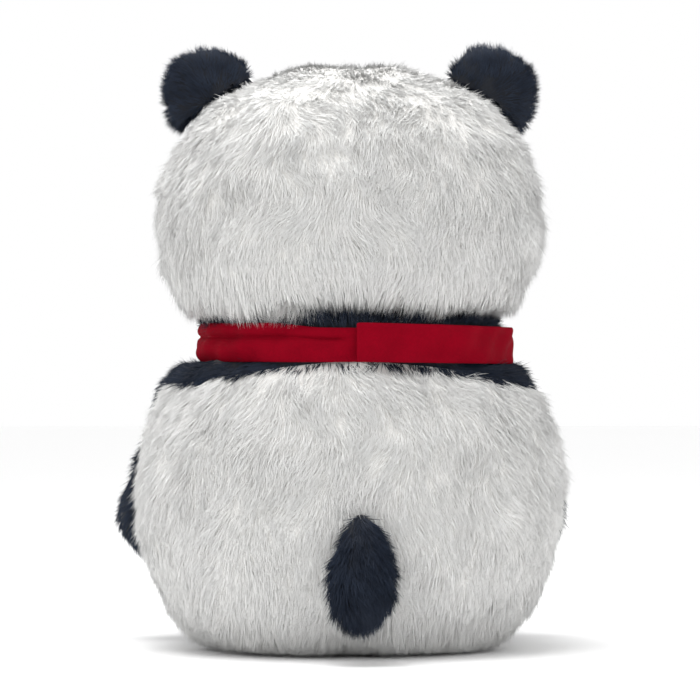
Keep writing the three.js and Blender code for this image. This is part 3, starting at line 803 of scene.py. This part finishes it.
# cloth: a grid of points along and across, with its own length and width kept as the map "cloth"
def clothStrip(name, rows, thickness, nodes):
    rows = np.array(rows)
    n, m = rows.shape[:2]
    mesh = bpy.data.meshes.new(name)
    faces = [
        (i * m + j, i * m + j + 1, (i + 1) * m + j + 1, (i + 1) * m + j)
        for i in range(n - 1) for j in range(m - 1)]
    mesh.from_pydata(rows.reshape(-1, 3).tolist(), [], faces)
    middle = rows[:, m // 2]
    u = np.concatenate([[0], np.cumsum(np.linalg.norm(np.diff(middle, axis=0), axis=1))])
    widest = rows[int(np.argmax(np.linalg.norm(np.diff(rows, axis=1), axis=2).sum(1)))]
    v = np.concatenate([[0], np.cumsum(np.linalg.norm(np.diff(widest, axis=0), axis=1))])
    layer = mesh.uv_layers.new(name="cloth")
    for loop in mesh.loops:
        i, j = divmod(loop.vertex_index, m)
        layer.data[loop.index].uv = (u[i], v[j])
    strip = linked(name, mesh)
    applied(strip, "SOLIDIFY", thickness=thickness, offset=0.0)
    applied(strip, "SUBSURF", levels=1, render_levels=1)
    pickOnly(strip)
    bpy.ops.object.shade_smooth()
    finished(strip, "neckband", "red_band", bandCloth, *nodes)
    return strip


# neck band: the right half lies flat over the left half, which is folded along its length
strap = {
    "over": 0.0928, "overShift": -0.003, "under": 0.0882, "thick": 0.0014, "overStart": 0.045,
    "underStart": -0.44, "underPast": 0.045, "stations": 96, "across": 15,
}
flatHalf = {
    "calm": 0.12, "hem": 0.0006, "hemWidth": 0.05, "hems": (0.10, 0.91), "drop": 0.0028, "dropTurn": 1.25,
    "dropTop": 0.4,
}
foldedHalf = {
    "crease": 0.64, "puff": 0.0036, "puffShape": 0.7, "upper": 0.0016, "upperIn": 0.0002, "notch": 0.0013,
    "notchWidth": 0.04, "dip": 0.003, "dipFrom": 0.22, "dipTo": 0.6, "flatTo": 0.04, "looseOver": 0.10,
    "frontOver": 0.6,
}
wrinkles = {  # depth, number along the band for each radian, slant across it, start
    "flat": ((0.0011, 9, 2.6, 0.0), (0.0008, 23, -5, 1.0), (0.0005, 6, 7.5, 0.0)),
    "folded": ((0.0009, 14, 5, 0.0), (0.0005, 31, 0, 1.3), (0.0005, 4, 11, 0.0)),
}


def wrinkled(kind, reach, v):
    return sum(
        depth * math.sin(along * reach + slant * v + start) for depth, along, slant, start in wrinkles[kind])


def strapRows(radius, shift, start, end, shape):
    rows = []
    for i in range(strap["stations"] + 1):
        turn = start + (end - start) * i / strap["stations"]
        row = []
        for j in range(strap["across"]):
            v = j / (strap["across"] - 1)
            out, up = shape(turn, v)
            reach = radius + out
            row.append((shift + reach * math.sin(turn), reach * math.cos(turn), bandLow + up))
        rows.append(row)
    return rows


bandWidth = bandHigh - bandLow


def flatShape(turn, v):  # turn is 0 at the middle of the back and half a circle at the front
    reach = abs(turn)
    calm = min(1.0, reach / flatHalf["calm"])
    hems = sum(math.exp(-((v - place) / flatHalf["hemWidth"]) ** 2) for place in flatHalf["hems"])
    sag = max(flatHalf["drop"] * math.sin(reach / flatHalf["dropTurn"]), 0)
    up = v * bandWidth - sag * (1 - flatHalf["dropTop"] + flatHalf["dropTop"] * v)
    return wrinkled("flat", reach, v) * calm + flatHalf["hem"] * hems, up


def foldedShape(turn, v):  # a plump roll below the crease and a flatter one above it
    reach = abs(turn)
    loose = min(1.0, max(0.0, (turn - foldedHalf["flatTo"]) / foldedHalf["looseOver"]))
    loose *= min(1.0, max(0.0, (math.pi - turn) / foldedHalf["frontOver"]))
    crease = foldedHalf["crease"]
    if v < crease:
        out = foldedHalf["puff"] * math.sin(math.pi * v / crease) ** foldedHalf["puffShape"]
    else:
        out = foldedHalf["upper"] * math.sin(math.pi * (v - crease) / (1 - crease)) - foldedHalf["upperIn"]
    pinch = foldedHalf["notch"] * math.exp(-((v - crease) / foldedHalf["notchWidth"]) ** 2)
    dip = foldedHalf["dip"] * (1 - float(ramp(turn, foldedHalf["dipFrom"], foldedHalf["dipTo"]))) * v ** 2
    return (out + wrinkled("folded", reach, v) - pinch) * loose, v * bandWidth - dip


clothStrip(
    "strap_over", strapRows(strap["over"], strap["overShift"], strap["overStart"], -math.pi, flatShape),
    strap["thick"], ["neckband_over"])
clothStrip(
    "strap_under",
    strapRows(strap["under"], 0.0, strap["underStart"], math.pi + strap["underPast"], foldedShape),
    strap["thick"], ["neckband_under"])

# bow
bow = {
    "height": 0.034, "pinch": 0.017, "pinchTo": 0.75, "cloth": 0.0014, "gathers": 4, "gatherDepth": 0.0009,
    "gatherFade": 1.2, "gatherLeast": 0.4, "depth": 0.94, "slack": 0.55, "bulge": 0.0012, "around": 56,
    "across": 24,
}
streamer = {
    "top": 0.165, "width": 0.02, "length": 0.046, "lean": 24, "tilt": 13, "notch": 0.006, "x": 0.012,
    "topWidth": 0.62, "wideAt": 0.35, "out": 0.0008, "wave": 0.0011, "waves": 2.4, "cup": 0.0006, "cups": 3,
    "down": 24, "across": 12,
}
wrap = {
    "thick": 0.0014, "gap": 0.02, "around": 40, "across": 14, "wide": 0.94, "round": 0.45, "ridge": 0.02,
    "ridges": 3.5, "inside": 0.001, "snug": 0.96,
}
knotLow, knotHigh = (Vector(corner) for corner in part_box("bow_knot"))
knotMiddle = (knotLow + knotHigh) / 2
for label, side in sides:
    low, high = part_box(f"bow_loop_{label}")
    inner, outer = sorted((abs(low[0]), abs(high[0])))
    depth = high[1] - low[1]
    rows = []
    for i in range(bow["around"] + 1):
        t = 2 * math.pi * i / bow["around"]
        s = (1 - math.cos(t)) / 2  # 0 at the knot and 1 at the loop's far end
        x = inner + (outer - inner) * s
        opened = bow["slack"] + (1 - bow["slack"]) * math.sin(t / 2)
        y = knotMiddle.y + depth / 2 * bow["depth"] * math.sin(t) * opened
        tall = bow["pinch"] + (bow["height"] - bow["pinch"]) * float(ramp(s, 0.0, bow["pinchTo"]))
        row = []
        for j in range(bow["across"] + 1):
            v = j / bow["across"]
            fold = math.cos(2 * math.pi * bow["gathers"] * v) * (1 - s) ** bow["gatherFade"]
            fold *= bow["gatherDepth"] * (bow["gatherLeast"] + abs(math.sin(t)))
            bulge = bow["bulge"] * math.sin(math.pi * v) * math.sin(t)
            row.append((side * x, y + fold + bulge, knotMiddle.z + (v - 0.5) * tall))
        rows.append(row[::side])
    clothStrip(f"bow_ribbon_{label}", rows, bow["cloth"], [f"bow_loop_{label}"])

    hang = (
        Matrix.Translation((side * streamer["x"], knotMiddle.y, streamer["top"]))
        @ Matrix.Rotation(math.radians(-streamer["tilt"]), 4, "X")
        @ Matrix.Rotation(math.radians(-side * streamer["lean"]), 4, "Y"))
    rows = []
    for i in range(streamer["down"] + 1):
        v = i / streamer["down"]
        spread = streamer["topWidth"] + (1 - streamer["topWidth"]) * float(ramp(v, 0.0, streamer["wideAt"]))
        sway = streamer["wave"] * math.sin(streamer["waves"] * math.pi * v + side) * v
        row = []
        for j in range(streamer["across"] + 1):
            u = j / streamer["across"] * 2 - 1
            drop = v * (streamer["length"] - streamer["notch"] * (1 - abs(u)))
            cup = streamer["cup"] * math.cos(streamer["cups"] * math.pi * u) * (1 - v)
            out = streamer["out"] + sway + cup
            row.append(tuple(hang @ Vector((u * streamer["width"] / 2 * spread, out, -drop))))
        rows.append(row[::-1])
    clothStrip(f"bow_tail_{label}", rows, bow["cloth"], [f"bow_streamer_{label}"])

rows = []
half = (knotHigh - knotLow) / 2
for i in range(wrap["around"] + 1):
    t = math.pi / 2 + wrap["gap"] + 2 * (math.pi - wrap["gap"]) * i / wrap["around"]
    row = []
    for j in range(wrap["across"] + 1):
        v = j / wrap["across"] * 2 - 1
        ridge = wrap["ridge"] * math.cos(wrap["ridges"] * math.pi * v)
        plump = (math.sqrt(max(0.0, 1 - wrap["round"] * v * v)) + ridge) * wrap["snug"]
        y = knotMiddle.y + (half.y - wrap["inside"]) * plump * math.sin(t)
        z = knotMiddle.z + (half.z - wrap["inside"]) * plump * math.cos(t)
        row.append((v * half.x * wrap["wide"], y, z))
    rows.append(row)
clothStrip("bow_wrap", rows, wrap["thick"], ["bow_knot"])
print("band and bow made")

# the pieces that keep their own shape
finishes = {
    "white_plush": whiteSkin, "black_plush": blackSkin, "fibre_filling": fillingFibre,
    "sole_suede": soleCloth, "red_band": tapeCloth, "fastener_tape": tapeCloth,
    "black_gloss": glossPlastic, "washer_plastic": washerPlastic, "black_thread": mouthThread,
}
for part in frame["record"]["subparts"]:
    node = frame["nodes"][part["node"]]
    node.data.materials.clear()
    node.data.materials.append(finishes[part["material_slot"]])

# floor, light and camera
studio = {
    "distance": 2.4, "azimuth": 177, "height": 0.179, "view": 0.42, "sensor": 36.0, "sky": 1.0,
    "floor": 14, "floorHeight": -0.0005, "floorTone": (0.97, 0.97, 0.97), "aim": (0, 0, 0.18),
}
lamps = {
    "top light": {"place": (0.25, 0.30, 1.7), "size": 1.0, "power": 17},
    "front light": {"place": (0.5, -1.2, 1.5), "size": 1.2, "power": 5},
}

deselect()
bpy.ops.mesh.primitive_plane_add(size=studio["floor"], location=(0, 0, studio["floorHeight"]))
floor = bpy.context.object
floor.name = "floor"
paleFloor = newMaterial("pale floor", {"Base Color": rgba(studio["floorTone"]), "Roughness": 0.9})
floor.data.materials.append(paleFloor)

world = bpy.data.worlds.new("studio")
bpy.context.scene.world = world
world.use_nodes = True
world.node_tree.nodes["Background"].inputs["Color"].default_value = (1, 1, 1, 1)
world.node_tree.nodes["Background"].inputs["Strength"].default_value = studio["sky"]
bpy.context.scene.view_settings.view_transform = "Standard"


for name, lamp in lamps.items():
    light = bpy.data.lights.new(name, "AREA")
    light.size = lamp["size"]
    light.energy = lamp["power"]
    holder = linked(name, light)
    holder.location = lamp["place"]
    toAim = Vector(studio["aim"]) - Vector(lamp["place"])
    holder.rotation_euler = toAim.to_track_quat("-Z", "Y").to_euler()

turn = math.radians(studio["azimuth"])
cameraData = bpy.data.cameras.new("camera")
cameraData.sensor_width = studio["sensor"]
cameraData.lens = studio["sensor"] * studio["distance"] / studio["view"]
camera = linked("camera", cameraData)
away = studio["distance"]
camera.location = (math.sin(turn) * away, -math.cos(turn) * away, studio["height"])
camera.rotation_euler = (math.radians(90), 0, turn)
bpy.context.scene.camera = camera
